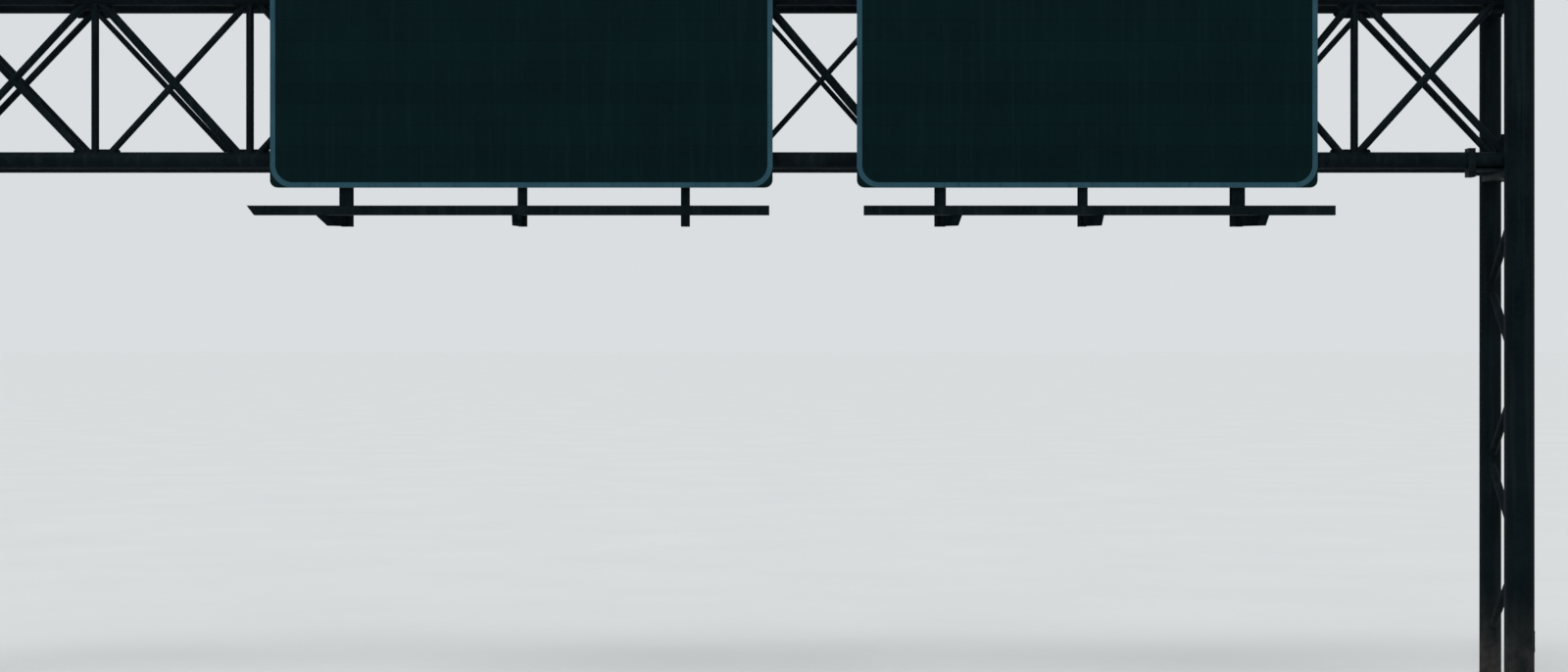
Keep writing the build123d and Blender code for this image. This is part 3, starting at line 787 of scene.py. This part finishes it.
# Welds of the columns: foot ring, fins, caps and lacing
columnWeld = {"finHeight": 0.256, "finHalf": 0.008, "finToe": 0.115, "base": 0.045, "lift": 0.003,
              "steps": 72}
lacing = {"radius": 0.060, "top": 7.46, "step": 1.31, "count": 5, "steps": 48}
for end, side in ends.items():
    welds = bmesh.new()
    for face in faces:
        centre = Vector((side * columnX, columnY[face], 0))
        radius = columnRadius[face]
        for ringZ in (columnWeld["base"] + columnWeld["lift"], columnTop - columnWeld["lift"]):
            addWeld(welds, ringLine(centre + Vector((0, 0, ringZ)), (0, 0, 1), radius + columnWeld["lift"],
                                    columnWeld["steps"]))
        for turn in range(4):
            out = Vector((math.cos(turn * math.pi / 2), math.sin(turn * math.pi / 2), 0))
            across = Vector((-out.y, out.x, 0))
            for hand in (-1, 1):
                shift = across * hand * (columnWeld["finHalf"] + weldBead["lift"])
                foot = centre + shift + Vector((0, 0, columnWeld["base"] + weldBead["lift"]))
                nearEdge = foot + out * (radius + weldBead["lift"])
                toe = foot + out * (radius + columnWeld["finToe"])
                tip = nearEdge + Vector((0, 0, columnWeld["finHeight"]))
                addWeld(welds, straightLine(nearEdge, toe), closed=False)
                addWeld(welds, straightLine(nearEdge, tip), closed=False)
    for step in range(lacing["count"]):
        near, far = ("front", "back") if step % 2 == 0 else ("back", "front")
        start = Vector((side * columnX, columnY[near], lacing["top"] - lacing["step"] * step))
        stop = Vector((side * columnX, columnY[far], start.z - lacing["step"]))
        for here, there, face in ((start, stop, near), (stop, start, far)):
            addWeld(welds, meetingLine(here, there - here, lacing["radius"], columnRadius[face], (0, 0, 1),
                                       (side * columnX, columnY[face], 0), lacing["steps"]))
    keepPiece(f"{end}ColumnWelds", welds, steel["weldPaint"])

# Curved cover over the hand hole, on the outer side of each front column
handHole = {"z": 0.95, "halfHeight": 0.16, "halfWidth": 0.085, "thick": 0.006, "corner": 0.05,
            "cornerSteps": 6, "sunk": 0.004, "bevel": 0.002, "bolt": 0.012, "boltRise": 0.12,
            "boltSunk": 0.001}
innerWidth = handHole["halfWidth"] - handHole["corner"]
innerHeight = handHole["halfHeight"] - handHole["corner"]
# Each ring of the cover: its size and its height over the column
coverRings = ((1.0, -handHole["sunk"]), (1.0, handHole["thick"] - handHole["bevel"]),
              (0.975, handHole["thick"]), (0.6, handHole["thick"]), (0.25, handHole["thick"]))
covers = bmesh.new()
screws = bmesh.new()
for end, side in ends.items():
    radius = columnRadius["front"]
    outline = []
    for cornerX, cornerZ, startAngle in ((1, 1, 0), (-1, 1, 90), (-1, -1, 180), (1, -1, 270)):
        for step in range(handHole["cornerSteps"] + 1):
            angle = math.radians(startAngle + 90 / handHole["cornerSteps"] * step)
            outline.append((cornerX * innerWidth + handHole["corner"] * math.cos(angle),
                            cornerZ * innerHeight + handHole["corner"] * math.sin(angle)))
    rings = []
    for scale, lift in coverRings:
        ring = []
        reach = radius + lift
        for wide, tall in outline:
            turn = wide * scale / radius
            x = side * (columnX + reach * math.cos(turn))
            y = columnY["front"] + side * reach * math.sin(turn)
            ring.append(covers.verts.new((x, y, handHole["z"] + tall * scale)))
        rings.append(ring)
    for lower, upper in zip(rings, rings[1:]):
        for index in range(len(outline)):
            following = (index + 1) % len(outline)
            covers.faces.new((lower[index], lower[following], upper[following], upper[index]))
    covers.faces.new(rings[-1])
    screwX = side * (columnX + radius + handHole["thick"] - handHole["boltSunk"])
    for rise in (-handHole["boltRise"], handHole["boltRise"]):
        addHex(screws, (screwX, columnY["front"], handHole["z"] + rise), (side, 0, 0), handHole["bolt"])
keepPiece("handHoleCovers", covers, steel["columnPaint"])
keepPiece("handHoleScrews", screws, steel["boltZinc"])
print("columns done")

# Clips that hold each plank's rib to the posts
plankClip = {"count": 10, "rib": 0.007, "plate": 0.006, "clear": 0.002, "width": 0.041, "ahead": 0.040,
             "behind": 0.019, "hook": 0.023, "hookFront": 0.0125, "hookDrop": 0.030, "bevel": 0.001,
             "bolt": 0.012, "boltAhead": 0.020, "tail": 0.005}
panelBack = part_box("left_sign_panel")[1].y
clips = bmesh.new()
bolts = bmesh.new()
for side in ends:
    for x, postWidth in zip(signPosts[side], postWidths[side]):
        near = postWidth / 2 + plankClip["clear"]
        far = near + plankClip["width"]
        for joint in range(1, plankClip["count"] + 1):
            z = signSheet["bottom"] + signSheet["plank"] * joint - plankClip["rib"]
            for hand in (-1, 1):
                inner, outer = sorted((x + hand * near, x + hand * far))
                behind = panelBack + plankClip["behind"]
                underside = z - plankClip["plate"]
                addPlate(clips, (inner, panelBack - plankClip["ahead"], underside), (outer, behind, z),
                         plankClip["bevel"])
                inner, outer = sorted((x + hand * (near - plankClip["hook"]), x + hand * far))
                addPlate(clips, (inner, panelBack + plankClip["hookFront"], z - plankClip["hookDrop"]),
                         (outer, behind, z), plankClip["bevel"])
                spot = (x + hand * (near + far) / 2, panelBack - plankClip["boltAhead"], underside)
                addHex(bolts, spot, (0, 0, -1), plankClip["bolt"], tail=plankClip["tail"])
keepPiece("plankClips", clips, steel["fittingPaint"])
keepPiece("plankClipBolts", bolts, steel["boltZinc"])

# End plates of the light arms on the posts, and the angles that hold the rails on the arms
armJoint = {"plateHalf": 0.062, "plateThick": 0.012, "plateTop": 7.212, "plateBevel": 0.002,
            "bottom": 7.0, "armTop": 7.19, "bolt": 0.018, "boltOut": 0.040, "boltHeights": (7.150, 7.060),
            "boltTail": 0.006, "weldOut": 0.006, "weldEnd": 0.012, "topWeldHalf": 0.057, "weldLift": 0.001}
railAngle = {"half": 0.058, "thick": 0.008, "leg": 0.080, "rise": 0.060, "bevel": 0.0015, "bolt": 0.014,
             "boltOut": 0.036, "boltBack": 0.048, "boltRise": 0.038, "tail": 0.005, "armFlange": 0.010}
railLow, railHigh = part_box("left_light_rail")
plates = bmesh.new()
bolts = bmesh.new()
welds = bmesh.new()
for side in ends:
    for x, shift in zip(signPosts[side], armShifts[side]):
        front = panelBack - armJoint["plateThick"]
        weldY = front - armJoint["weldLift"]
        weldTop = armJoint["armTop"] + armJoint["weldLift"]
        addPlate(plates, (x - armJoint["plateHalf"], front, armJoint["bottom"]),
                 (x + armJoint["plateHalf"], panelBack, armJoint["plateTop"]), armJoint["plateBevel"])
        for wide in (-armJoint["boltOut"], armJoint["boltOut"]):
            for z in armJoint["boltHeights"]:
                addHex(bolts, (x + wide, front, z), (0, -1, 0), armJoint["bolt"])
                addHex(bolts, (x + wide, panelBack + postJoint["flange"], z), (0, 1, 0), armJoint["bolt"],
                       tail=armJoint["boltTail"])
        for wide in (-armJoint["weldOut"], armJoint["weldOut"]):
            line = straightLine((x + wide, weldY, armJoint["bottom"] + armJoint["weldEnd"]),
                                (x + wide, weldY, armJoint["armTop"] - armJoint["weldEnd"]))
            addWeld(welds, line, closed=False)
        addWeld(welds, straightLine((x - armJoint["topWeldHalf"], weldY, weldTop),
                                    (x + armJoint["topWeldHalf"], weldY, weldTop)), closed=False)
        farX = x + shift * (panelBack - railHigh.y) / (panelBack - railLow.y)
        seat = railLow.z
        legTop = seat + railAngle["thick"]
        addPlate(plates, (farX - railAngle["half"], railHigh.y, seat),
                 (farX + railAngle["half"], railHigh.y + railAngle["leg"], legTop), railAngle["bevel"])
        legBack = railHigh.y + railAngle["thick"]
        addPlate(plates, (farX - railAngle["half"], railHigh.y, seat),
                 (farX + railAngle["half"], legBack, seat + railAngle["rise"]), railAngle["bevel"])
        for wide in (-railAngle["boltOut"], railAngle["boltOut"]):
            boltY = railHigh.y + railAngle["boltBack"]
            addHex(bolts, (farX + wide, boltY, legTop), (0, 0, 1), railAngle["bolt"])
            addHex(bolts, (farX + wide, boltY, seat - railAngle["armFlange"]), (0, 0, -1),
                   railAngle["bolt"], tail=railAngle["tail"])
            addHex(bolts, (farX + wide, legBack, seat + railAngle["boltRise"]), (0, 1, 0), railAngle["bolt"])
keepPiece("armPlates", plates, steel["postPaint"])
keepPiece("armBolts", bolts, steel["boltZinc"])
keepPiece("armWelds", welds, steel["weldPaint"])
print("sign fittings done")

# Studio: a wide pale floor, even light from all round and one soft lamp
studio = {"floorHalf": 900.0, "floor": (0.66, 0.68, 0.69), "floorWorn": (0.635, 0.655, 0.666),
          "floorMottle": 0.25, "floorRough": 0.9, "floorGloss": 0.1,
          "backdrop": (0.70, 0.73, 0.75), "worldLight": 0.80,
          "lamp": 1.1, "lampAngle": 25.0, "lampTurn": (38.0, 0.0, -28.0)}
floorData = bpy.data.meshes.new("floor")
half = studio["floorHalf"]
corners = [(-half, -half, 0), (half, -half, 0), (half, half, 0), (-half, half, 0)]
floorData.from_pydata(corners, [], [(0, 1, 2, 3)])
floor = bpy.data.objects.new("floor", floorData)
bpy.context.scene.collection.objects.link(floor)
floorMaterial, tree, shader = startMaterial("paleFloor")
floorShade = useGroup(tree, "mottle", {"Scale": studio["floorMottle"]})["Shade"]
floorColour = mixColours(tree, floorShade, studio["floor"], studio["floorWorn"])
tree.links.new(floorColour, shader.inputs["Base Color"])
shader.inputs["Roughness"].default_value = studio["floorRough"]
shader.inputs["Specular IOR Level"].default_value = studio["floorGloss"]
floorData.materials.append(floorMaterial)

world = bpy.data.worlds.new("studioWorld")
bpy.context.scene.world = world
world.use_nodes = True
tree = world.node_tree
tree.nodes.clear()
path = tree.nodes.new("ShaderNodeLightPath")
seen = addMath(tree, "MAXIMUM", path.outputs["Is Camera Ray"],
               addMath(tree, "MAXIMUM", path.outputs["Is Glossy Ray"], path.outputs["Is Transmission Ray"]))
plainBackdrop = addNode(tree, "ShaderNodeBackground", {"Color": (*studio["backdrop"], 1), "Strength": 1.0})
evenLight = addNode(tree, "ShaderNodeBackground", {"Color": (1, 1, 1, 1), "Strength": studio["worldLight"]})
choose = tree.nodes.new("ShaderNodeMixShader")
tree.links.new(seen, choose.inputs[0])
tree.links.new(evenLight.outputs[0], choose.inputs[1])
tree.links.new(plainBackdrop.outputs[0], choose.inputs[2])
tree.links.new(choose.outputs[0], tree.nodes.new("ShaderNodeOutputWorld").inputs["Surface"])

lampData = bpy.data.lights.new("softLamp", "SUN")
lampData.energy = studio["lamp"]
lampData.angle = math.radians(studio["lampAngle"])
lamp = bpy.data.objects.new("softLamp", lampData)
lamp.rotation_euler = [math.radians(turn) for turn in studio["lampTurn"]]
bpy.context.scene.collection.objects.link(lamp)
bpy.context.scene.view_settings.view_transform = "Standard"

view = {"spot": (2.08, -41.341, 5.4), "turn": (90.0, 0.0, 0.0), "lens": 65.2, "sensor": 36.0,
        "clipEnd": 3000}
cameraData = bpy.data.cameras.new("photoCamera")
cameraData.sensor_fit = "HORIZONTAL"
cameraData.sensor_width = view["sensor"]
cameraData.lens = view["lens"]
cameraData.clip_end = view["clipEnd"]
camera = bpy.data.objects.new("photoCamera", cameraData)
camera.location = view["spot"]
camera.rotation_euler = [math.radians(turn) for turn in view["turn"]]
bpy.context.scene.collection.objects.link(camera)
bpy.context.scene.camera = camera
print("studio done")
